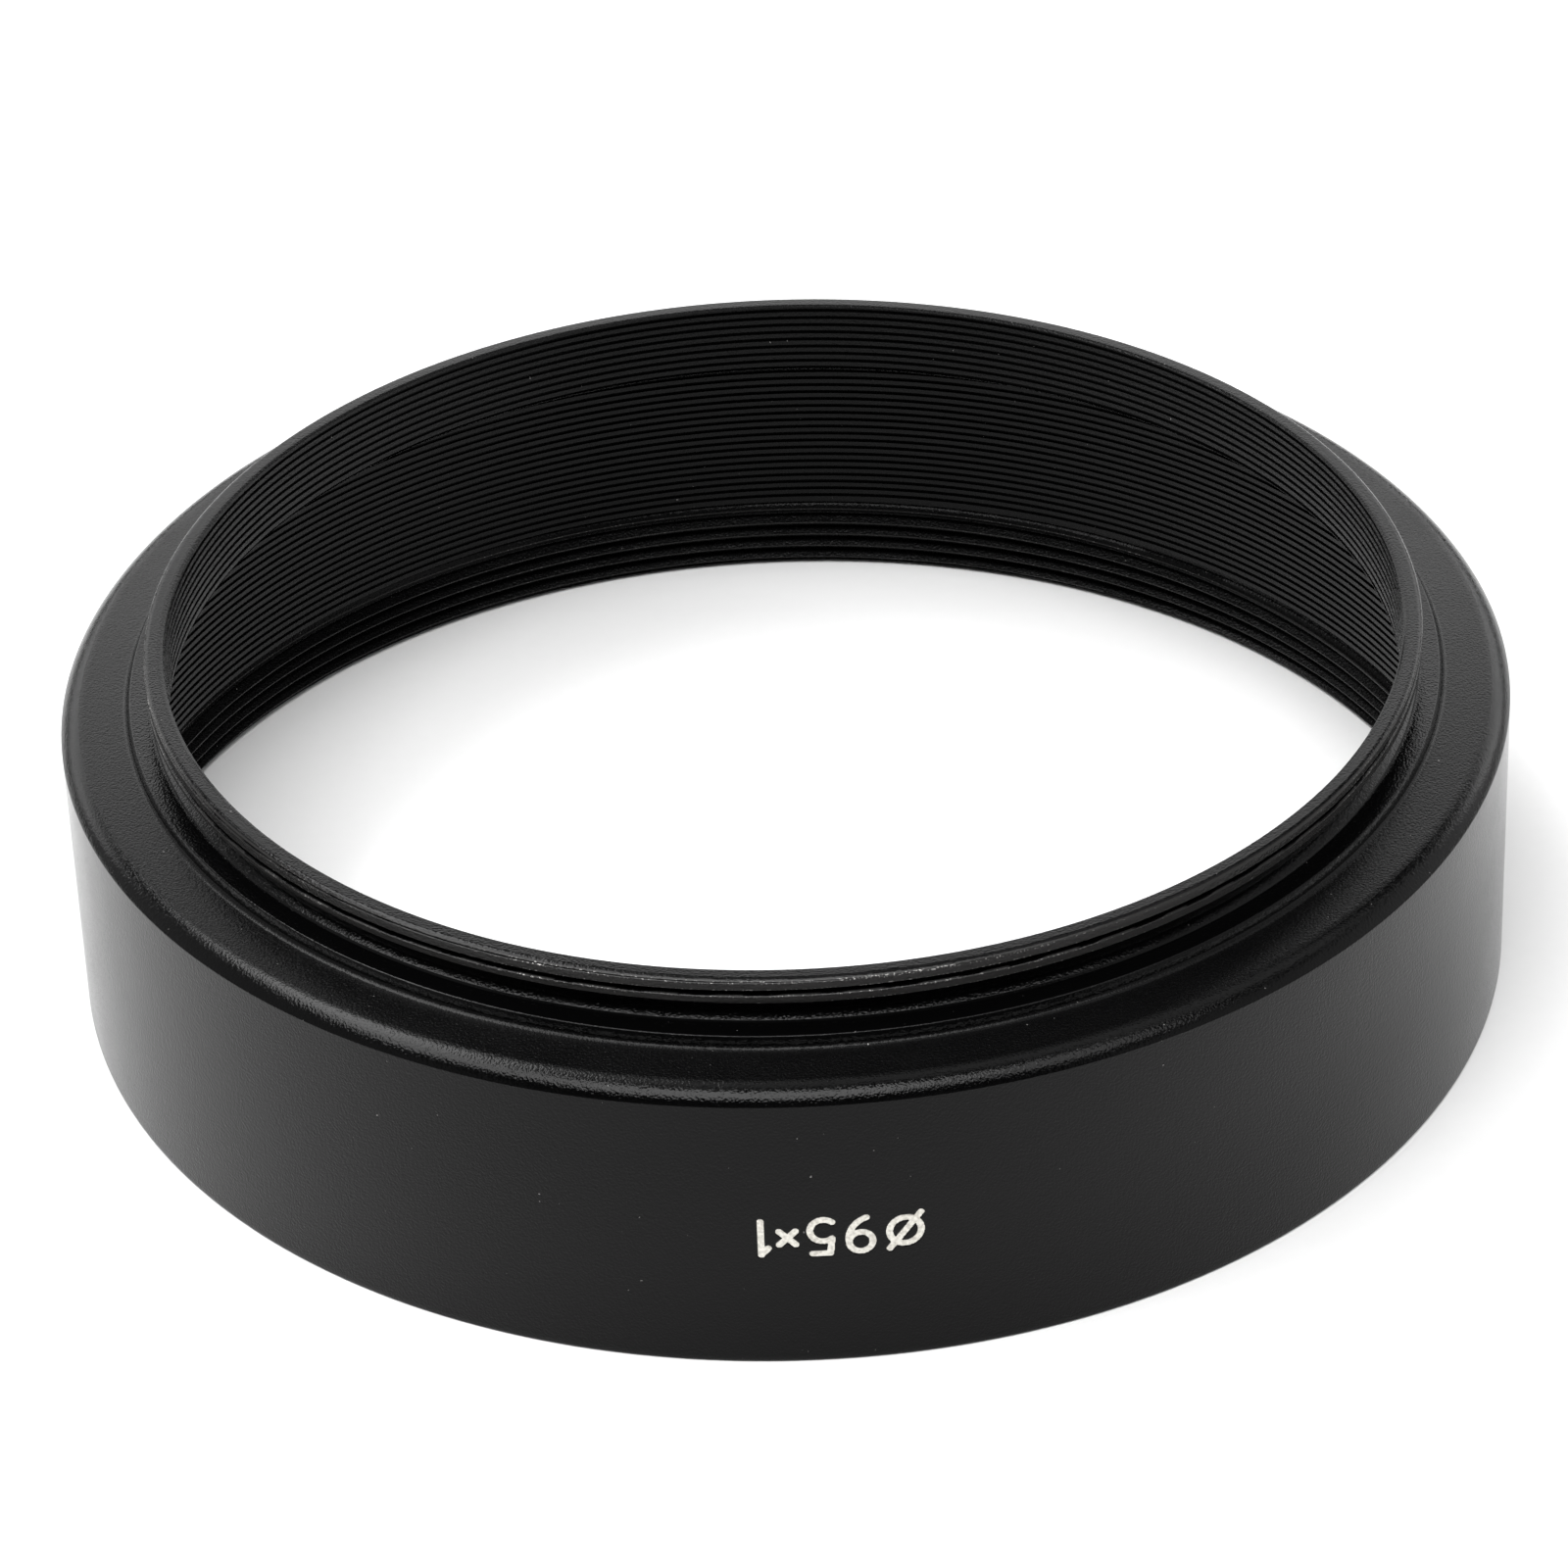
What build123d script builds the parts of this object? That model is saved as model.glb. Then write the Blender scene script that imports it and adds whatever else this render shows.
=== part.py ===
"""Screw-in metal lens hood for a lens with an 86 mm filter thread.

Frame: millimetres, +Z up along the optical axis, origin at the centre of the front rim, which the hood
rests on when it stands on a table. The thread that screws into the lens is at the top. The front
opening, with its thread for a cap, faces down. Threads and fine grooves are rings of their real profile
and pitch, without the helix.
"""
import os
from math import cos, radians, sin, tan

from build123d import *

# ---- driving dimensions --------------------------------------------------------------------------
HEIGHT = 25.3                   # front rim to the end of the mount thread
BARREL_R = 48.93                # outside of the hood
EDGE_BREAK = 0.1                # small chamfer on a turned edge

# the shell: barrel and shoulder
RIM_BREAK = 0.2                 # chamfer on the outer edge of the front rim
SHOULDER_R = 44.75              # inner end of the shoulder, where it curves up to the mount ring
SHOULDER_TOP = 21.1             # height of that end
SHOULDER_ANGLE = 4.0            # fall of the shoulder outwards, degrees
CROWN_R = 47.28                 # where the shoulder starts to round over towards the side
SIDE_TOP = 19.92                # height at which the rounding meets the side
CEILING = 19.2                  # underside of the shoulder, inside the barrel

# thread for a front cap, M95x1
CAP_MAJOR_R = 47.5
CAP_PITCH = 1.0
CAP_CRESTS = 5
CAP_FIRST_CREST = 0.85          # height of the crest nearest the rim
CAP_LEAD_IN = 0.18              # the mouth is this much wider than the thread

# fine grooves that keep the inside dark
BAFFLE_PITCH = 0.6
BAFFLE_CREST_R = 47.25
BAFFLE_ROOT_R = 47.5
BAFFLE_BOTTOM = 5.35            # lower end of the grooved length in the barrel
BAFFLE_GROOVES = 22
NECK_CREST_R = 41.65
NECK_ROOT_R = 41.9
NECK_GROOVES = 8

# the mount ring: neck, thread and seat flange, M86x1
MOUNT_MAJOR_R = 42.95
MOUNT_PITCH = 1.0
MOUNT_FIRST_CREST = 23.78       # height of the crest nearest the relief
RELIEF_TOP = 23.15
RELIEF_BOTTOM = 22.4
RELIEF_R = 42.2                 # relief behind the thread
LAND_R = 42.72                  # top of the small cone between the relief and the seat
LAND_TOP = 22.1
SEAT = 21.9                     # face that stops against the lens
SEAT_INNER_R = 42.97            # just clear of the thread's crests
FLANGE_TOP_R = 44.15            # outside of the seat flange at the seat
FLANGE_R = 44.38                # outside of the seat flange in the shell's recess
JOINT_TOP = 21.35               # height at which the flange leaves the recess
RECESS_FLOOR = 20.5             # bottom of the shell's recess, which the flange sits on
SPIGOT_R = 43.3                 # plain end of the ring, in the shell's hole
NECK_BOTTOM = 19.9              # lower end of the ring
RIM_CHAMFER = 0.35              # lead-in of the mount thread
NECK_CHAMFER = 0.2              # both ends of the neck's bore

# metric thread form, blunted: the flats are shares of the pitch
MOUNT_CREST_FLAT = 0.45
CAP_CREST_FLAT = 0.25
ROOT_FLAT = 0.15
FLANK_ANGLE = 30                # of a flank, from square to the axis, degrees

# painted size of the front thread, upright when the front opening is up
MARK_AZIMUTH = -87.7            # degrees from +X
MARK_MIDDLE = 9.8               # height of its middle
MARK_DEPTH = 0.12               # the paint fills an engraving this deep
GLYPH_HEIGHT = 3.0
STROKE = 0.42                   # width of the engraved line
BOWL_R = 0.74                   # centre line of a digit's round part
SIGN_R = 1.0                    # centre line of the diameter sign
GLYPH_MIDDLES = (-4.3, -1.5, 0.95, 3.1, 4.75)   # along the marking, one for each glyph

os.makedirs("parts", exist_ok=True)


def groove_row(crest_r, root_r, bottom, pitch, count):
    """Outline of a row of V grooves in the wall of a bore: crest, root, crest, from the bottom up."""
    points = [(crest_r, bottom)]
    for i in range(count):
        points.append((root_r, bottom + (i + 0.5) * pitch))
        points.append((crest_r, bottom + (i + 1) * pitch))
    return points


def thread_depth(crest_flat, pitch):
    """Height of a crest above its roots."""
    return (1 - ROOT_FLAT - crest_flat) * pitch / 2 / tan(radians(FLANK_ANGLE))


def thread_crest(crest_r, root_r, crest_flat, middle, pitch):
    """Outline of one thread crest, from the root below it to the root above."""
    return [
        (root_r, middle - (1 - ROOT_FLAT) * pitch / 2),
        (crest_r, middle - crest_flat * pitch / 2),
        (crest_r, middle + crest_flat * pitch / 2),
        (root_r, middle + (1 - ROOT_FLAT) * pitch / 2),
    ]


# ---- mount ring ----------------------------------------------------------------------------------
# One turned ring: threaded neck, relief, seat flange, and a spigot that is bonded into the shell.
mount_minor_r = MOUNT_MAJOR_R - thread_depth(MOUNT_CREST_FLAT, MOUNT_PITCH)
mount_crests = [
    thread_crest(MOUNT_MAJOR_R, mount_minor_r, MOUNT_CREST_FLAT, middle, MOUNT_PITCH)
    for middle in (MOUNT_FIRST_CREST, MOUNT_FIRST_CREST + MOUNT_PITCH)
]
neck_grooves_bottom = (HEIGHT + NECK_BOTTOM - NECK_GROOVES * BAFFLE_PITCH) / 2
neck_grooves = groove_row(NECK_CREST_R, NECK_ROOT_R, neck_grooves_bottom, BAFFLE_PITCH, NECK_GROOVES)
with BuildPart() as mount_ring:
    with BuildSketch(Plane.XZ):
        with BuildLine():
            Polyline(
                (NECK_CREST_R + NECK_CHAMFER, NECK_BOTTOM),
                (SPIGOT_R, NECK_BOTTOM),
                (SPIGOT_R, RECESS_FLOOR),
                (FLANGE_R, RECESS_FLOOR),
                (FLANGE_R, JOINT_TOP),
                (FLANGE_TOP_R, SEAT - EDGE_BREAK),
                (FLANGE_TOP_R - EDGE_BREAK, SEAT),
                (SEAT_INNER_R, SEAT),
                (LAND_R, LAND_TOP),
                (RELIEF_R, RELIEF_BOTTOM),
                (RELIEF_R, RELIEF_TOP),
                *mount_crests[0][1:],
                *mount_crests[1][:2],
                (MOUNT_MAJOR_R, HEIGHT - RIM_CHAMFER),
                (MOUNT_MAJOR_R - RIM_CHAMFER, HEIGHT),
                (NECK_CREST_R + NECK_CHAMFER, HEIGHT),
                (NECK_CREST_R, HEIGHT - NECK_CHAMFER),
                *reversed(neck_grooves),
                (NECK_CREST_R, NECK_BOTTOM + NECK_CHAMFER),
                close=True,
            )
        make_face()
    revolve(axis=Axis.Z)

# ---- marking -------------------------------------------------------------------------------------
# Paint in a shallow engraving: diameter sign, 9, 5, multiplication sign, 1. One solid for each glyph.
azimuth = radians(MARK_AZIMUTH)
mark_plane = Plane(
    origin=(BARREL_R * cos(azimuth), BARREL_R * sin(azimuth), MARK_MIDDLE),
    x_dir=(sin(azimuth), -cos(azimuth), 0),
    z_dir=(cos(azimuth), sin(azimuth), 0),
)
cap_line = (GLYPH_HEIGHT - STROKE) / 2          # centre line of a stroke along the top
sign_x, nine_x, five_x, times_x, one_x = GLYPH_MIDDLES
bowl_y = cap_line - BOWL_R
strokes = [
    Line((sign_x - SIGN_R, -cap_line), (sign_x + SIGN_R, cap_line)),
    ThreePointArc(
        (nine_x + BOWL_R, bowl_y),
        (nine_x + 0.6 * BOWL_R, -0.55 * cap_line),
        (nine_x - 0.5 * BOWL_R, -cap_line),
    ),
    Polyline(
        (five_x + 0.8 * BOWL_R, cap_line),
        (five_x - 0.7 * BOWL_R, cap_line),
        (five_x - 0.85 * BOWL_R, 0.12 * cap_line),
    ),
    ThreePointArc(
        (five_x - 0.85 * BOWL_R, 0.12 * cap_line),
        (five_x + BOWL_R, -0.4 * cap_line),
        (five_x - 0.9 * BOWL_R, -0.85 * cap_line),
    ),
    Line((times_x - 0.7 * BOWL_R, -0.7 * BOWL_R), (times_x + 0.7 * BOWL_R, 0.7 * BOWL_R)),
    Line((times_x - 0.7 * BOWL_R, 0.7 * BOWL_R), (times_x + 0.7 * BOWL_R, -0.7 * BOWL_R)),
    Polyline((one_x - 0.6 * BOWL_R, 0.6 * cap_line), (one_x, cap_line), (one_x, -cap_line)),
]
with BuildPart() as size_marking:
    with BuildSketch(mark_plane):
        for ring_x, ring_y, ring_r in ((sign_x, 0, SIGN_R), (nine_x, bowl_y, BOWL_R)):
            with Locations((ring_x, ring_y)):
                Circle(ring_r + STROKE / 2)
                Circle(ring_r - STROKE / 2, mode=Mode.SUBTRACT)
        for stroke in strokes:
            SlotArc(stroke, STROKE)
    extrude(amount=STROKE, both=True)
    with BuildSketch(Plane.XZ):
        with Locations((BARREL_R - MARK_DEPTH / 2, MARK_MIDDLE)):
            Rectangle(MARK_DEPTH, 2 * GLYPH_HEIGHT)
    revolve(axis=Axis.Z, mode=Mode.INTERSECT)

# ---- hood shell ----------------------------------------------------------------------------------
# One turned shell: barrel, sloping shoulder, the recess that takes the mount ring, and the cap thread.
shoulder_fall = tan(radians(SHOULDER_ANGLE))
crown_top = SHOULDER_TOP - (CROWN_R - SHOULDER_R) * shoulder_fall
cap_minor_r = CAP_MAJOR_R - thread_depth(CAP_CREST_FLAT, CAP_PITCH)
cap_thread = []
for i in range(CAP_CRESTS):
    middle = CAP_FIRST_CREST + i * CAP_PITCH
    cap_thread += thread_crest(cap_minor_r, CAP_MAJOR_R, CAP_CREST_FLAT, middle, CAP_PITCH)
with BuildPart() as hood_shell:
    with BuildSketch(Plane.XZ):
        with BuildLine():
            Polyline(
                (SPIGOT_R, CEILING),
                (SPIGOT_R, RECESS_FLOOR),
                (FLANGE_R, RECESS_FLOOR),
                (FLANGE_R, JOINT_TOP),
            )
            TangentArc((SHOULDER_R, SHOULDER_TOP), (FLANGE_R, JOINT_TOP), tangent=(-1, shoulder_fall))
            Line((SHOULDER_R, SHOULDER_TOP), (CROWN_R, crown_top))
            TangentArc((CROWN_R, crown_top), (BARREL_R, SIDE_TOP), tangent=(1, -shoulder_fall))
            Polyline(
                (BARREL_R, SIDE_TOP),
                (BARREL_R, RIM_BREAK),
                (BARREL_R - RIM_BREAK, 0),
                (CAP_MAJOR_R + CAP_LEAD_IN, 0),
                *cap_thread,
                *groove_row(BAFFLE_CREST_R, BAFFLE_ROOT_R, BAFFLE_BOTTOM, BAFFLE_PITCH, BAFFLE_GROOVES),
                (BAFFLE_CREST_R, CEILING),
                (SPIGOT_R, CEILING),
            )
        make_face()
    revolve(axis=Axis.Z)
    add(size_marking.part, mode=Mode.SUBTRACT)

# ---- export --------------------------------------------------------------------------------------
mount_ring.part.label = "mount_ring"
hood_shell.part.label = "hood_shell"
size_marking.part.label = "size_marking"
for piece in (mount_ring.part, hood_shell.part, size_marking.part):
    export_step(piece, f"parts/{piece.label}.step")
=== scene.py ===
"""Looks of the screw-in lens hood: detailed turned meshes, anodised finish, floor, light and camera."""

import math
from collections import Counter

import bmesh
import bpy
import numpy as np
from mathutils import Matrix, Vector


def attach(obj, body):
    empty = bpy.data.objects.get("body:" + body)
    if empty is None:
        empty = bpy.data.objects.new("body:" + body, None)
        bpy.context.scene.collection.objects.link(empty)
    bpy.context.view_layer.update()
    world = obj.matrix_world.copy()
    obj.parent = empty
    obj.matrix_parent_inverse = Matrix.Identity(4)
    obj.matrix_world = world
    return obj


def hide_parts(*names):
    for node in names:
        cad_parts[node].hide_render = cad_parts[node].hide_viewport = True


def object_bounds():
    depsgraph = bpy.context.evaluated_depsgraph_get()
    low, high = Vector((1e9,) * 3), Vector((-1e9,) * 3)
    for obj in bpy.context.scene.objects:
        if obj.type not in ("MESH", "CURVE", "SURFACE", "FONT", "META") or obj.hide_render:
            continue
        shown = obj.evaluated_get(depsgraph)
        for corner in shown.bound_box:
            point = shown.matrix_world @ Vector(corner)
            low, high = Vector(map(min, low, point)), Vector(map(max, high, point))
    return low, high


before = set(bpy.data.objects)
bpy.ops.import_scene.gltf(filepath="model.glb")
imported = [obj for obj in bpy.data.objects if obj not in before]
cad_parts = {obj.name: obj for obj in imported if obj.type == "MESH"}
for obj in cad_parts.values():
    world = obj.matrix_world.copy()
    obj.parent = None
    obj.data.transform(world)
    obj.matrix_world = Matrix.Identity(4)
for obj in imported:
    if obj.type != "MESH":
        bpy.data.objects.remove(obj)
cad_low, cad_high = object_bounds()

# ---- sizes, in millimetres -----------------------------------------------------------------------
MM = 0.001
HEIGHT = cad_high.z / MM                # front rim to the end of the mount thread
BARREL_R = cad_high.x / MM              # outside of the hood
COLUMNS = 336                           # mesh steps round a turned piece
ARC_STEPS = 4                           # mesh steps round the corner of an outline
WELD = 2e-4                             # points nearer to each other than this become one
SHARP = math.radians(28)                # mesh edges that turn more than this are shaded as edges

# shell
CREASE = 0.13                           # radius of an edge that was only broken
FRONT_EDGE = 0.18                       # radius of the front rim's outer edge
RUBBED = 0.06                           # how near a worn corner the coating is rubbed
WORN_INSIDE, WORN_OUTSIDE = 0.03, 0.02  # and on a thread, how far to each side, as shares of a pitch
SHOULDER_R, SHOULDER_TOP = 44.75, 21.1
SHOULDER_FALL = math.tan(math.radians(4.0))
COVE_STEPS = 6                          # round the cove that leads up to the flange
CROWN_R, SIDE_TOP = 47.28, 19.92        # the shoulder rounds over from here to the side
CROWN_STEPS = 14
SIDE_HIGH, SIDE_LOW, SIDE_FOOT = 15.5, 4.0, 0.45   # mesh rows on the plain side
CEILING, CEILING_FILLET = 19.2, 0.4
RECESS_FLOOR = 20.5
JOINT_GAP = 0.02                        # the shell stops this far below the foot of the flange
SPIGOT_R = 43.3

# thread for a front cap
CAP_CREST_R, CAP_ROOT_R = 46.98, 47.66  # the cutter goes a little past the nominal diameter
CAP_PITCH = 1.0
CAP_CREST_HEIGHT = 3.65                 # a crest's height at the far side, azimuth 90 degrees
CAP_TOP, CAP_RUNOUT = 5.25, 1.2         # the last turns fade out over this height
CAP_SHARES = (0, 0.045, 0.18, 0.32, 0.455)
CAP_LEAD_IN = 0.6                       # height of the cone at the mouth
MOUTH_R = 47.68

# fine grooves, cut left-handed
GROOVE_PITCH = 0.596
GROOVE_SHARES = (0, 0.27, 0.33, 0.45)   # a flat crest, a steep wall and the root
GROOVE_FILLET = 0.04
BARREL_CREST_R, BARREL_ROOT_R = 47.25, 47.5
BARREL_CREST_HEIGHT = 14.57             # a crest's height at azimuth 90 degrees
BARREL_BOTTOM, BARREL_TOP = 5.35, 18.5
NECK_CREST_R, NECK_ROOT_R = 41.65, 41.9
NECK_CREST_HEIGHT = 23.445
NECK_BOTTOM, NECK_TOP = 19.9, HEIGHT - 0.08
NECK_CHAMFER = 0.2
NECK_FINISH_R = 42.05                   # the bore's duller finish ends here, on the rim

# mount ring
MOUNT_CREST_R, MOUNT_ROOT_R = 42.95, 42.47
MOUNT_PITCH = 1.0
MOUNT_CREST_HEIGHT = 23.28              # a crest's height at azimuth 90 degrees
MOUNT_SHARES = (0, 0.13, 0.25, 0.29, 0.34, 0.39, 0.43)
MOUNT_WORN = 0.27                       # the corner of the thread's crest
MOUNT_FILLET = 0.04
RELIEF_R, RELIEF_BOTTOM, RELIEF_TOP = 42.2, 22.4, 23.12
RUN_UP = 0.43                           # the thread rises out of its relief over this height
LAND_R, LAND_TOP, LAND_FILLET = 42.72, 22.1, 0.06
LAND_FOOT_R, LAND_FOOT = 42.8, 21.95
SEAT, SEAT_INNER_R = 21.9, 42.97
FLANGE_TOP_R, FLANGE_R, JOINT_TOP = 44.15, 44.38, 21.35
RIM_EDGE = ((42.95, 25.08), (42.92, 25.13), (42.78, 25.25), (42.62, 25.3))   # broken outer edge of the rim
RIM_GROOVE_R = 42.78                    # the thread's last groove is this shallow at the rim
RIM_GROOVE_START, RIM_GROOVE_END = HEIGHT - 0.42, HEIGHT - 0.22
RIM_FLAT_OUTER_R, RIM_FLAT_INNER_R = 42.57, 41.9   # mesh rows that keep the rim flat

# size marking, engraved in the side upside down and filled with paint
MARK_AZIMUTH, MARK_MIDDLE = -87.7, 9.8
MARK_DEPTH, PAINT_BELOW = 0.12, 0.035
WALL_TOP, WALL_RUN = 0.035, 0.09        # the pocket starts this far outside a stroke and slopes over this run
GLYPH_HEIGHT, STROKE = 3.0, 0.42
BOWL_R, SIGN_R = 0.74, 1.0              # centre lines of a digit's round part and of the diameter sign
GLYPH_MIDDLES = (-4.3, -1.5, 0.95, 3.1, 4.75)
PATCH_ROWS = (11.6, 10.7, 9.8, 8.9, 8.0)   # mesh rows that are refined round the marking
PATCH_TURN = 7.6                        # and how far to each side, in degrees
PATCH_CUTS = 12
PAINT_STEP, PAINT_WIDTH, PAINT_HEIGHT = 0.06, 6.2, 1.8   # the paint's mesh, and half its width and height
PAINT_SPREAD, PAINT_SINK = 0.05, 0.02   # the paint's edge and underside go this far into the metal

# ---- finish --------------------------------------------------------------------------------------
OUTSIDE_ROUGHNESS, INSIDE_ROUGHNESS = 0.14, 0.27
GLOSS_IOR, GLOSS_TINT, INSIDE_GLOSS_TINT = 2.6, 0.041, 0.037
FINISH_BLEND = 0.02                     # half the width over which one finish turns into the other
MOTTLE_SCALE, FINE_SCALE, GRAIN_SCALE = 260, 7000, 6200   # noise scales are per metre
CHIP_SCALE, PATCH_SCALE, SPECK_SCALE = 6500, 70, 5200
PAINT_SCALE, PAINT_GRAIN_SCALE, PAPER_SCALE = 4200, 5000, 900
GRAIN_DEPTH, PAINT_GRAIN_DEPTH = 0.000026, 0.00003   # in metres
WEAR, BURNISH = 0.6, 0.035              # share of bare metal where chipped, and where only polished by use
BLACK, BARE_METAL = (0.0008, 0.0008, 0.00085), (0.42, 0.41, 0.4)
PAINT_DARK, PAINT_LIGHT = (0.48, 0.46, 0.41), (0.72, 0.7, 0.64)
FLOOR_DARK, FLOOR_LIGHT = (0.65,) * 3, (0.67,) * 3

# ---- floor, light and camera, in metres ----------------------------------------------------------
FLOOR_HALF = 3.0
WORLD = 0.03
LIGHTS = {                              # place, width, depth, turn about its own axis, radiance
    "key_front": ((-0.1, -0.42, 1.0), 0.75, 0.5, 0, 11.5),
    "key_left": ((-0.52, 0.15, 0.95), 0.4, 1.0, 90, 9.0),
    "key_right": ((0.5, -0.38, 1.0), 0.5, 0.5, 0, 5.0),
    "ceiling": ((0, 0.4, 1.4), 2.6, 0.7, 0, 1.3),
    "back": ((0, 1.2, 0.55), 3.0, 0.66, 0, 2.15),
    "left": ((-1.2, 0.0, 0.5), 2.4, 0.9, 0, 0.55),
    "right": ((1.2, 0.0, 0.5), 2.4, 0.9, 0, 0.9),
    "front": ((0, -1.6, 0.7), 2.4, 0.5, 0, 0.22),
}
CAMERA_DISTANCE = 0.4451                # from the origin
CAMERA_ELEVATION = math.radians(34.80)
CAMERA_PITCH = math.radians(33.59)      # below the horizon
CAMERA_YAW = math.radians(-0.046)
CAMERA_ROLL = math.radians(-2.207)
CAMERA_LENS, SENSOR_WIDTH = 147.0, 36   # in mm


# ---- outlines ------------------------------------------------------------------------------------
def outline(*corners):
    """Points (radius, height) of an outline. A corner is (radius, height) or (radius, height, rounding)."""
    points = []
    for i, corner in enumerate(corners):
        here = Vector(corner[:2])
        if len(corner) == 2:
            points.append(tuple(here))
            continue
        back = (Vector(corners[i - 1][:2]) - here).normalized()
        ahead = (Vector(corners[i + 1][:2]) - here).normalized()
        half = back.angle(ahead) / 2
        reach = corner[2] / math.tan(half)
        centre = here + (back + ahead).normalized() * corner[2] / math.sin(half)
        start, end = here + back * reach, here + ahead * reach
        for step in range(ARC_STEPS + 1):
            spoke = (start - centre).slerp(end - centre, step / ARC_STEPS) * corner[2]
            points.append(tuple(centre + spoke))
    return points


def tangent_arc(start, direction, end, steps):
    """Points from start to end on the arc that leaves start along direction."""
    start, end, direction = Vector(start), Vector(end), Vector(direction).normalized()
    across = Vector((-direction.y, direction.x))
    chord = end - start
    radius = chord.length_squared / (2 * chord.dot(across))
    centre = start + across * radius
    first = start - centre
    sweep = first.angle_signed(end - centre)
    return [tuple(centre + Matrix.Rotation(-sweep * i / steps, 2) @ first) for i in range(steps + 1)]


def ramp(value, *pairs):
    """Piecewise linear function through (value, result) pairs."""
    return np.interp(value, [p[0] for p in pairs], [p[1] for p in pairs])


def groove(share, crest_r, root_r):
    """Radius of a fine groove."""
    flat, wall, root = GROOVE_SHARES[1:]
    return ramp(share, (flat, crest_r), (wall, root_r - GROOVE_FILLET), (root, root_r))


# ---- turned meshes -------------------------------------------------------------------------------
AZIMUTH = np.linspace(0, 2 * math.pi, COLUMNS + 1)


def turned(points, worn=()):
    """Rows round the axis for an outline's points. worn lists the corners whose coating is rubbed.

    Rows are three arrays, radius, height and wear, with a line for each row and a column for each azimuth.
    """
    points = np.array(points)
    wear = np.zeros(len(points))
    for corner in worn:
        wear[np.hypot(*(points - corner).T) < RUBBED] = 1
    return tuple(np.repeat(column[:, None], COLUMNS + 1, 1) for column in (*points.T, wear))


def threaded(half, low, high, pitch, crest_height, hand, radius_at, worn_share=None):
    """Rows that follow a helix from low to high. half is where they lie in a pitch, from a crest to a root.

    hand is 1 for a right-handed thread and -1 for a left-handed one. radius_at(share, height) gives the
    radius, where share is 0 at a crest and 0.5 at a root. worn_share is where the coating is rubbed, and
    from there to the crest it is only polished.
    """
    shares = (*half, *(1 - share for share in half[:0:-1]))
    turns = hand * (AZIMUTH - math.pi / 2) / (2 * math.pi)
    first = math.floor((low - crest_height) / pitch) - 2
    last = math.ceil((high - crest_height) / pitch) + 2
    rows = np.array([whole + share for whole in range(first, last + 1) for share in shares])
    height = np.clip(crest_height + (rows[:, None] + turns[None, :]) * pitch, low, high)
    phase = (height - crest_height) / pitch - turns[None, :]
    share = np.abs(phase - np.round(phase))
    wear = np.zeros_like(share)
    if worn_share is not None:
        rubbed_from, rubbed_to = worn_share - WORN_INSIDE, worn_share + WORN_OUTSIDE
        wear = np.where(share <= rubbed_to, np.where(share > rubbed_from, 1, 0.5), 0)
    return radius_at(share, height), height, wear


def add_piece(name, points, faces, material):
    """A new object from points in mm, with its faces turned outwards and its sharp edges marked."""
    mesh = bpy.data.meshes.new(name)
    mesh.from_pydata((points * MM).tolist(), [], faces)
    mesh.materials.append(material)
    mesh.validate()
    bm = bmesh.new()
    bm.from_mesh(mesh)
    bmesh.ops.recalc_face_normals(bm, faces=bm.faces)
    for edge in bm.edges:
        if len(edge.link_faces) == 2 and edge.calc_face_angle() > SHARP:
            edge.smooth = False
    bm.to_mesh(mesh)
    bm.free()
    piece = bpy.data.objects.new(name, mesh)
    bpy.context.scene.collection.objects.link(piece)
    return piece


def shade_smooth(mesh):
    """Smooth shading on every face, up to the edges that are marked sharp."""
    mesh.polygons.foreach_set("use_smooth", np.ones(len(mesh.polygons), bool))


def surface(name, sections, material):
    """One closed turned mesh from sections of rows, joined in order and back to the first."""
    radius, height, wear = (
        np.concatenate([s[i] for s in sections] + [sections[0][i][:1]]) for i in range(3)
    )
    grid = np.stack([radius * np.cos(AZIMUTH), radius * np.sin(AZIMUTH), height], -1)
    grid[:, -1, 0], grid[:, -1, 1] = radius[:, -1], 0      # a full turn ends exactly where it began
    grid = grid.reshape(-1, 3)
    cells = np.round(grid / WELD).astype(np.int64)
    _, kept, index = np.unique(cells, axis=0, return_index=True, return_inverse=True)
    index = index.reshape(radius.shape)
    quads = np.stack([index[:-1, :-1], index[:-1, 1:], index[1:, 1:], index[1:, :-1]], -1).reshape(-1, 4)
    faces = []
    for quad in quads.tolist():
        corners = [point for i, point in enumerate(quad) if point != quad[i - 1]]
        if len(corners) >= 3 and len(set(corners)) == len(corners):
            faces.append(corners)
    uses = Counter(frozenset(face) for face in faces)      # welding can fold two faces onto each other
    faces = [face for face in faces if uses[frozenset(face)] == 1]
    piece = add_piece(name, grid[kept], faces, material)
    rubbed = piece.data.attributes.new("wear", "FLOAT", "POINT")
    rubbed.data.foreach_set("value", wear.reshape(-1)[kept].astype(np.float32))
    shade_smooth(piece.data)
    piece.modifiers.new("even_shading", "WEIGHTED_NORMAL").keep_sharp = True
    return piece


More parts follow.
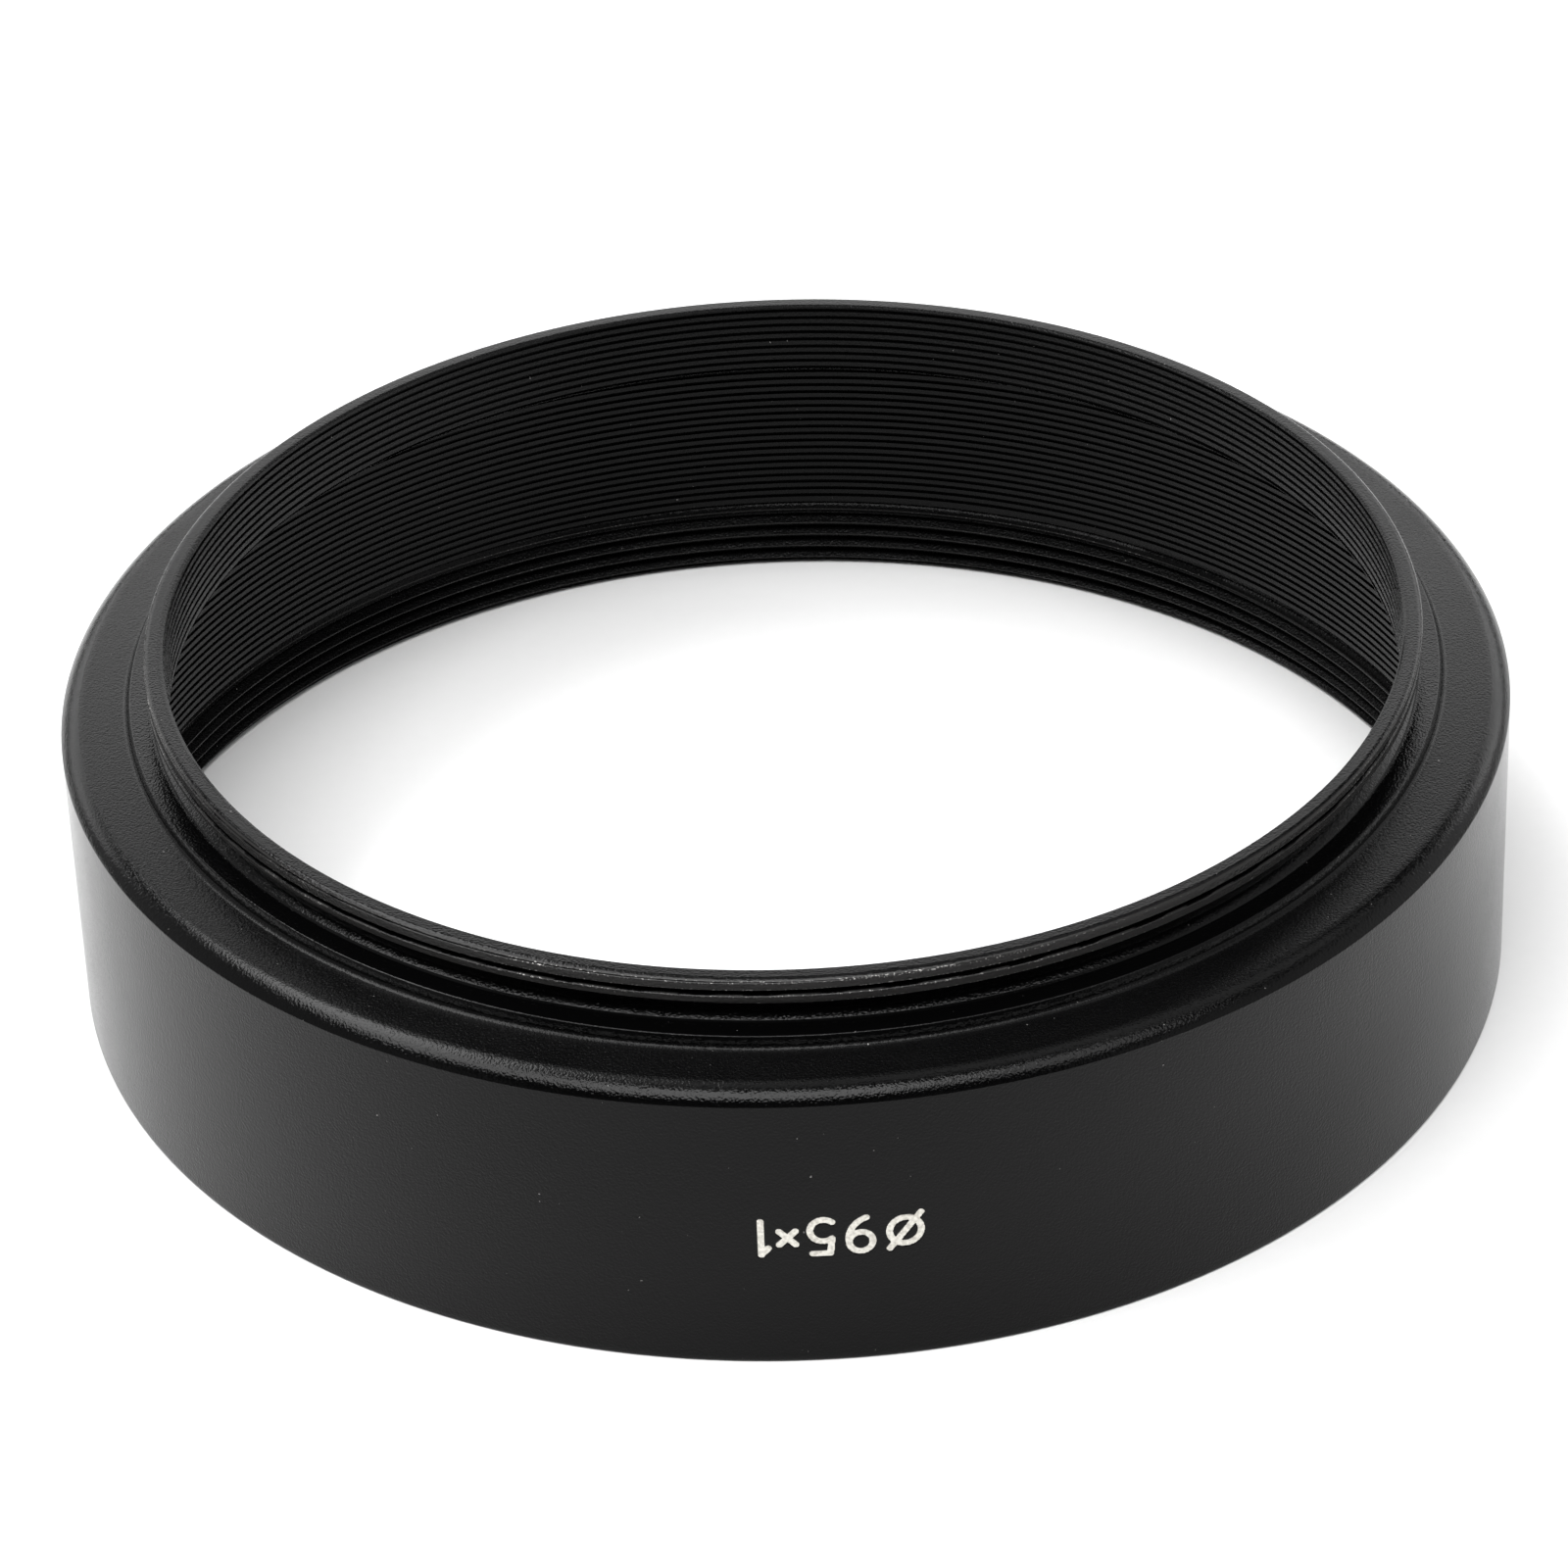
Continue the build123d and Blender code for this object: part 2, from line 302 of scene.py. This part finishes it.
# ---- materials -----------------------------------------------------------------------------------
class Recipe:
    """A new material, with a short way to add each kind of node."""

    def __init__(self, name):
        self.material = bpy.data.materials.new(name)
        self.material.use_nodes = True
        self.nodes = self.material.node_tree.nodes
        self.shader = self.nodes["Principled BSDF"].inputs
        self.place = self.nodes.new("ShaderNodeTexCoord").outputs["Object"]

    def feed(self, socket, value):
        """Links a socket to another node's output, or sets it to a number or colour."""
        if isinstance(value, bpy.types.NodeSocket):
            self.material.node_tree.links.new(value, socket)
        else:
            socket.default_value = value

    def noise(self, scale, detail):
        node = self.nodes.new("ShaderNodeTexNoise")
        self.feed(node.inputs["Vector"], self.place)
        self.feed(node.inputs["Scale"], scale)
        self.feed(node.inputs["Detail"], detail)
        return node.outputs["Fac"]

    def radius(self):
        """Distance from the optical axis, in metres."""
        flat = self.nodes.new("ShaderNodeVectorMath")
        flat.operation = "MULTIPLY"
        self.feed(flat.inputs[0], self.place)
        self.feed(flat.inputs[1], (1, 1, 0))
        length = self.nodes.new("ShaderNodeVectorMath")
        length.operation = "LENGTH"
        self.feed(length.inputs[0], flat.outputs["Vector"])
        return length.outputs["Value"]

    def mapped(self, value, from_range, to_range):
        """value taken linearly from one range to another, held at its ends."""
        node = self.nodes.new("ShaderNodeMapRange")
        self.feed(node.inputs["Value"], value)
        for name, number in zip(("From Min", "From Max", "To Min", "To Max"), (*from_range, *to_range)):
            self.feed(node.inputs[name], number)
        return node.outputs["Result"]

    def maths(self, operation, first, *others):
        """Two or more values joined by one operation."""
        for other in others:
            node = self.nodes.new("ShaderNodeMath")
            node.operation = operation
            self.feed(node.inputs[0], first)
            self.feed(node.inputs[1], other)
            first = node.outputs[0]
        return first

    def blend(self, factor, first, second):
        """A colour between two others, each (red, green, blue)."""
        node = self.nodes.new("ShaderNodeMix")
        node.data_type = "RGBA"
        self.feed(node.inputs["Factor"], factor)
        self.feed(node.inputs["A"], (*first, 1))
        self.feed(node.inputs["B"], (*second, 1))
        return node.outputs["Result"]

    def grain(self, height, strength, distance):
        """Fine bumps all over the surface."""
        node = self.nodes.new("ShaderNodeBump")
        self.feed(node.inputs["Height"], height)
        self.feed(node.inputs["Strength"], strength)
        self.feed(node.inputs["Distance"], distance)
        self.feed(self.shader["Normal"], node.outputs["Normal"])


def bare_metal(recipe):
    """How bare the metal is: chipped and polished where the mesh says worn, with a few specks anywhere."""
    worn = recipe.nodes.new("ShaderNodeAttribute")
    worn.attribute_name = "wear"
    chips = recipe.mapped(recipe.noise(CHIP_SCALE, 2), (0.55, 0.67), (0, 1))
    patches = recipe.mapped(recipe.noise(PATCH_SCALE, 2), (0.42, 0.6), (0.1, 1))
    specks = recipe.mapped(recipe.noise(SPECK_SCALE, 0), (0.89, 0.92), (0, 0.4))
    chipped = recipe.mapped(worn.outputs["Fac"], (0.6, 1), (0, WEAR))
    polished = recipe.mapped(worn.outputs["Fac"], (0, 0.5), (0, BURNISH))
    rubbed = recipe.maths("MULTIPLY", chips, patches, chipped)
    return recipe.maths("MAXIMUM", rubbed, polished, specks)


def anodised(name, inside_r):
    """Black anodised aluminium, blasted outside, and machined and duller inside the radius inside_r."""
    recipe = Recipe(name)
    radius = recipe.radius()
    change = ((inside_r - FINISH_BLEND) * MM, (inside_r + FINISH_BLEND) * MM)
    base = recipe.mapped(radius, change, (INSIDE_ROUGHNESS, OUTSIDE_ROUGHNESS))
    mottle = recipe.mapped(recipe.noise(MOTTLE_SCALE, 3), (0.3, 0.7), (-0.02, 0.02))
    fine = recipe.mapped(recipe.noise(FINE_SCALE, 1), (0.3, 0.7), (-0.03, 0.03))
    rough = recipe.maths("ADD", base, mottle, fine)
    bare = bare_metal(recipe)
    bare_rough = recipe.maths("MULTIPLY", bare, 0.4)
    recipe.feed(recipe.shader["Base Color"], recipe.blend(bare, BLACK, BARE_METAL))
    recipe.feed(recipe.shader["Metallic"], bare)
    recipe.feed(recipe.shader["Roughness"], recipe.maths("MAXIMUM", rough, bare_rough))
    recipe.feed(recipe.shader["IOR"], GLOSS_IOR)
    tint = recipe.mapped(radius, change, (INSIDE_GLOSS_TINT, GLOSS_TINT))
    recipe.feed(recipe.shader["Specular Tint"], tint)
    recipe.grain(recipe.noise(GRAIN_SCALE, 1), 1, GRAIN_DEPTH)
    return recipe.material


def paint(name):
    """Off-white paint, unevenly thin."""
    recipe = Recipe(name)
    thickness = recipe.mapped(recipe.noise(PAINT_SCALE, 3), (0.35, 0.6), (0, 1))
    recipe.feed(recipe.shader["Base Color"], recipe.blend(thickness, PAINT_DARK, PAINT_LIGHT))
    recipe.feed(recipe.shader["Roughness"], 0.65)
    recipe.grain(recipe.noise(PAINT_GRAIN_SCALE, 2), 0.4, PAINT_GRAIN_DEPTH)
    return recipe.material


def floor_finish(name):
    """Pale matt paper."""
    recipe = Recipe(name)
    fibres = recipe.noise(PAPER_SCALE, 3)
    recipe.feed(recipe.shader["Base Color"], recipe.blend(fibres, FLOOR_DARK, FLOOR_LIGHT))
    recipe.feed(recipe.shader["Roughness"], 0.8)
    return recipe.material


# ---- hood shell ----------------------------------------------------------------------------------
def make_shell():
    along_shoulder = (1, -SHOULDER_FALL)
    crown_z = SHOULDER_TOP - (CROWN_R - SHOULDER_R) * SHOULDER_FALL
    cove = tangent_arc(
        (SHOULDER_R, SHOULDER_TOP), (-1, SHOULDER_FALL), (FLANGE_R, JOINT_TOP), COVE_STEPS
    )[::-1]
    crown = tangent_arc((CROWN_R, crown_z), along_shoulder, (BARREL_R, SIDE_TOP), CROWN_STEPS)
    outside = outline(
        (SPIGOT_R, CEILING),
        (SPIGOT_R, RECESS_FLOOR),
        (FLANGE_R, RECESS_FLOOR),
        (FLANGE_R, JOINT_TOP - JOINT_GAP),
        *cove,
        *crown[:-1],
        (BARREL_R, SIDE_TOP, CREASE),
        *((BARREL_R, height) for height in (SIDE_HIGH, *PATCH_ROWS, SIDE_LOW, SIDE_FOOT)),
        (BARREL_R, 0.0, FRONT_EDGE),
        (MOUTH_R, 0.0),
    )

    def cap_radius(share, height):
        thread = ramp(share, (CAP_SHARES[1], CAP_CREST_R), (CAP_SHARES[-1], CAP_ROOT_R))
        lead_in = ramp(height, (0, MOUTH_R), (CAP_LEAD_IN, CAP_CREST_R))
        runout = ramp(height, (CAP_TOP - CAP_RUNOUT, CAP_CREST_R), (CAP_TOP, CAP_ROOT_R))
        return np.maximum(np.maximum(thread, lead_in), runout)

    def barrel_radius(share, height):
        return groove(share, BARREL_CREST_R, BARREL_ROOT_R)

    cap = threaded(CAP_SHARES, 0, CAP_TOP, CAP_PITCH, CAP_CREST_HEIGHT, 1, cap_radius, 0)
    barrel = threaded(
        GROOVE_SHARES, BARREL_BOTTOM, BARREL_TOP, GROOVE_PITCH, BARREL_CREST_HEIGHT, -1, barrel_radius
    )
    inside = outline(
        (BARREL_CREST_R, BARREL_TOP),
        (BARREL_CREST_R, CEILING, CEILING_FILLET),
        (SPIGOT_R, CEILING),
    )
    return surface(
        "hood_shell_turned", [turned(outside, [(MOUTH_R, 0.0)]), cap, barrel, turned(inside)],
        anodised("black_anodised_shell", MOUTH_R),
    )


# ---- mount ring ----------------------------------------------------------------------------------
def make_ring():
    outside = outline(
        (NECK_CREST_R, NECK_BOTTOM + NECK_CHAMFER),
        (NECK_CREST_R + NECK_CHAMFER, NECK_BOTTOM),
        (SPIGOT_R, NECK_BOTTOM),
        (SPIGOT_R, RECESS_FLOOR),
        (FLANGE_R, RECESS_FLOOR),
        (FLANGE_R, JOINT_TOP),
        (FLANGE_TOP_R, SEAT, CREASE),
        (SEAT_INNER_R, SEAT),
        (LAND_FOOT_R, LAND_FOOT),
        (LAND_R, LAND_TOP, LAND_FILLET),
        (RELIEF_R, RELIEF_BOTTOM),
        (RELIEF_R, RELIEF_TOP),
    )
    thread_top = RIM_EDGE[0][1]

    def mount_radius(share, height):
        flat, corner, root = MOUNT_SHARES[2], MOUNT_SHARES[3], MOUNT_SHARES[-1]
        thread = ramp(
            share, (flat, MOUNT_CREST_R), (corner, MOUNT_CREST_R - MOUNT_FILLET), (root, MOUNT_ROOT_R)
        )
        at_rim = ramp(height, (RIM_GROOVE_START, MOUNT_ROOT_R), (RIM_GROOVE_END, RIM_GROOVE_R))
        envelope = ramp(
            height,
            (RELIEF_TOP, RELIEF_R),
            (RELIEF_TOP + RUN_UP, MOUNT_CREST_R),
            (thread_top, RIM_EDGE[0][0]),
        )
        return np.minimum(np.maximum(thread, at_rim), envelope)

    def neck_radius(share, height):
        return groove(share, NECK_CREST_R, NECK_ROOT_R)

    mount = threaded(
        MOUNT_SHARES, RELIEF_TOP, thread_top, MOUNT_PITCH, MOUNT_CREST_HEIGHT, 1, mount_radius, MOUNT_WORN
    )
    neck = threaded(
        GROOVE_SHARES, NECK_BOTTOM + NECK_CHAMFER, NECK_TOP, GROOVE_PITCH, NECK_CREST_HEIGHT, -1, neck_radius
    )
    rim = (
        *RIM_EDGE[1:],
        (RIM_FLAT_OUTER_R, HEIGHT),
        (RIM_FLAT_INNER_R, HEIGHT),
        (NECK_CREST_R + NECK_CHAMFER, HEIGHT),
    )
    neck_down = tuple(rows[::-1] for rows in neck)
    return surface(
        "mount_ring_turned", [turned(outside), mount, turned(rim, RIM_EDGE[1:2]), neck_down],
        anodised("black_anodised_ring", NECK_FINISH_R),
    )


# ---- size marking --------------------------------------------------------------------------------
def arc_through(a, b, c, steps=16):
    """Points on the arc through three points."""
    (ax, ay), (bx, by), (cx, cy) = a, b, c
    d = 2 * (ax * (by - cy) + bx * (cy - ay) + cx * (ay - by))
    a2, b2, c2 = ax * ax + ay * ay, bx * bx + by * by, cx * cx + cy * cy
    x = (a2 * (by - cy) + b2 * (cy - ay) + c2 * (ay - by)) / d
    y = (a2 * (cx - bx) + b2 * (ax - cx) + c2 * (bx - ax)) / d
    radius = math.hypot(ax - x, ay - y)
    first, middle, last = (math.atan2(q - y, p - x) for p, q in (a, b, c))
    sweep = (last - first) % (2 * math.pi)
    if (middle - first) % (2 * math.pi) > sweep:
        sweep -= 2 * math.pi
    angles = [first + sweep * i / steps for i in range(steps + 1)]
    return [(x + radius * math.cos(angle), y + radius * math.sin(angle)) for angle in angles]


def glyph_lines():
    """The glyphs' centre lines: circles (x, y, radius), and strokes that are lists of points."""
    cap = (GLYPH_HEIGHT - STROKE) / 2
    b = BOWL_R
    sign, nine, five, times, one = GLYPH_MIDDLES
    circles = ((sign, 0, SIGN_R), (nine, cap - b, b))
    strokes = (
        [(sign - SIGN_R, -cap), (sign + SIGN_R, cap)],
        arc_through((nine + b, cap - b), (nine + 0.6 * b, -0.55 * cap), (nine - 0.5 * b, -cap)),
        [(five + 0.8 * b, cap), (five - 0.7 * b, cap), (five - 0.85 * b, 0.12 * cap)],
        arc_through((five - 0.85 * b, 0.12 * cap), (five + b, -0.4 * cap), (five - 0.9 * b, -0.85 * cap)),
        [(times - 0.7 * b, -0.7 * b), (times + 0.7 * b, 0.7 * b)],
        [(times - 0.7 * b, 0.7 * b), (times + 0.7 * b, -0.7 * b)],
        [(one - 0.6 * b, 0.6 * cap), (one, cap), (one, -cap)],
    )
    return circles, strokes


def distance_to_strokes(u, v):
    """Distance in the marking's plane from (u, v) to the edge of the nearest stroke, negative inside."""
    circles, strokes = glyph_lines()
    nearest = np.full(np.shape(u), np.inf)
    for x, y, radius in circles:
        nearest = np.minimum(nearest, np.abs(np.hypot(u - x, v - y) - radius))
    for stroke in strokes:
        for (ax, ay), (bx, by) in zip(stroke[:-1], stroke[1:]):
            dx, dy = bx - ax, by - ay
            along = np.clip(((u - ax) * dx + (v - ay) * dy) / (dx * dx + dy * dy), 0, 1)
            nearest = np.minimum(nearest, np.hypot(u - ax - along * dx, v - ay - along * dy))
    return nearest - STROKE / 2


def in_patch(vertex, depth, margin):
    """Whether a vertex is in the marking's patch, less than depth below the side and margin past its rows."""
    x, y, z = vertex.co / MM
    turn = math.degrees(math.atan2(y, x)) - MARK_AZIMUTH
    return (
        math.hypot(x, y) > BARREL_R - depth
        and abs(turn) < PATCH_TURN
        and PATCH_ROWS[-1] - margin < z < PATCH_ROWS[0] + margin
    )


def engrave(piece):
    """Cuts the marking's pocket in the side, after refining the mesh there."""
    bm = bmesh.new()
    bm.from_mesh(piece.data)
    faces = [f for f in bm.faces if all(in_patch(v, 0.01, 0.01) for v in f.verts)]
    edges = dict.fromkeys(e for f in faces for e in f.edges)
    bmesh.ops.subdivide_edges(bm, edges=list(edges), cuts=PATCH_CUTS, use_grid_fill=True)
    chosen = [v for v in bm.verts if in_patch(v, 0.05, -0.01)]
    x, y, z = np.array([v.co for v in chosen]).T / MM
    azimuth = math.radians(MARK_AZIMUTH)
    offset = distance_to_strokes(x * math.sin(azimuth) - y * math.cos(azimuth), MARK_MIDDLE - z)
    depth = MARK_DEPTH * np.clip((WALL_TOP - offset) / WALL_RUN, 0, 1)
    for vertex, scale in zip(chosen, (BARREL_R - depth) / np.hypot(x, y)):
        vertex.co.x *= scale
        vertex.co.y *= scale
    bm.to_mesh(piece.data)
    bm.free()
    shade_smooth(piece.data)


def make_paint():
    """The paint in the engraving: a thin sheet wherever the strokes are, its edge just inside the metal."""
    across = np.arange(-PAINT_WIDTH, PAINT_WIDTH + PAINT_STEP, PAINT_STEP)
    along = np.arange(-PAINT_HEIGHT, PAINT_HEIGHT + PAINT_STEP, PAINT_STEP)
    u, v = np.meshgrid(across, along, indexing="ij")
    azimuth = math.radians(MARK_AZIMUTH) - np.arcsin(u / BARREL_R)
    top, underside = (
        np.stack([r * np.cos(azimuth), r * np.sin(azimuth), MARK_MIDDLE - v], -1).reshape(-1, 3)
        for r in (BARREL_R - PAINT_BELOW, BARREL_R - MARK_DEPTH - PAINT_SINK)
    )
    painted = distance_to_strokes(u, v) < PAINT_SPREAD
    cells = painted[:-1, :-1] & painted[1:, :-1] & painted[1:, 1:] & painted[:-1, 1:]
    index = np.arange(u.size).reshape(u.shape)
    quads = np.stack([index[:-1, :-1], index[1:, :-1], index[1:, 1:], index[:-1, 1:]], -1)[cells].tolist()
    rim = set()
    for a, b, c, d in quads:
        for edge in ((a, b), (b, c), (c, d), (d, a)):
            if edge[::-1] in rim:
                rim.remove(edge[::-1])
            else:
                rim.add(edge)
    faces = quads + [[k + u.size for k in reversed(quad)] for quad in quads]
    faces += [[b, a, a + u.size, b + u.size] for a, b in sorted(rim)]
    used = sorted({k for face in faces for k in face})
    renumber = {old: new for new, old in enumerate(used)}
    return add_piece(
        "size_marking_paint", np.concatenate([top, underside])[used],
        [[renumber[k] for k in face] for face in faces], paint("engraving_paint"),
    )


shell = make_shell()
engrave(shell)
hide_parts("hood_shell")
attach(shell, "root")

ring = make_ring()
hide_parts("mount_ring")
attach(ring, "root")

marking = make_paint()
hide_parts("size_marking")
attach(marking, "root")


# ---- studio --------------------------------------------------------------------------------------
def make_floor():
    mesh = bpy.data.meshes.new("floor")
    corners = [(-1, -1), (1, -1), (1, 1), (-1, 1)]
    mesh.from_pydata([(x * FLOOR_HALF, y * FLOOR_HALF, 0) for x, y in corners], [], [(0, 1, 2, 3)])
    mesh.materials.append(floor_finish("floor_paper"))
    floor = bpy.data.objects.new("floor", mesh)
    bpy.context.scene.collection.objects.link(floor)
    return floor


def make_world():
    world = bpy.data.worlds.new("studio")
    world.use_nodes = True
    background = world.node_tree.nodes["Background"].inputs
    background["Color"].default_value = (1, 1, 1, 1)
    background["Strength"].default_value = WORLD
    bpy.context.scene.world = world


def soft_box(name, place, width, depth, spin, radiance):
    """A rectangular light at place, facing the origin."""
    light = bpy.data.lights.new(name, "AREA")
    light.shape = "RECTANGLE"
    light.size, light.size_y = width, depth
    light.energy = radiance * math.pi * width * depth
    box = bpy.data.objects.new(name, light)
    box.location = place
    facing = (-Vector(place)).to_track_quat("-Z", "Y").to_matrix()
    box.rotation_euler = (facing @ Matrix.Rotation(math.radians(spin), 3, "Z")).to_euler()
    bpy.context.scene.collection.objects.link(box)


def make_camera():
    """The camera whose view fits the photo's."""
    data = bpy.data.cameras.new("camera")
    data.sensor_width = SENSOR_WIDTH
    data.lens = CAMERA_LENS
    ahead = Vector((
        math.sin(CAMERA_YAW) * math.cos(CAMERA_PITCH),
        math.cos(CAMERA_YAW) * math.cos(CAMERA_PITCH),
        -math.sin(CAMERA_PITCH),
    ))
    level = Vector((math.cos(CAMERA_YAW), -math.sin(CAMERA_YAW), 0))
    upright = level.cross(ahead)
    right = math.cos(CAMERA_ROLL) * level + math.sin(CAMERA_ROLL) * upright
    up = math.cos(CAMERA_ROLL) * upright - math.sin(CAMERA_ROLL) * level
    facing = Matrix((right, up, -ahead)).transposed().to_4x4()
    place = Vector((0, -math.cos(CAMERA_ELEVATION), math.sin(CAMERA_ELEVATION))) * CAMERA_DISTANCE
    camera = bpy.data.objects.new("camera", data)
    bpy.context.scene.collection.objects.link(camera)
    camera.matrix_world = Matrix.Translation(place) @ facing
    bpy.context.scene.camera = camera


floor = make_floor()
make_world()
for light_name, settings in LIGHTS.items():
    soft_box(light_name, *settings)
make_camera()

bpy.context.scene.view_settings.view_transform = "Standard"
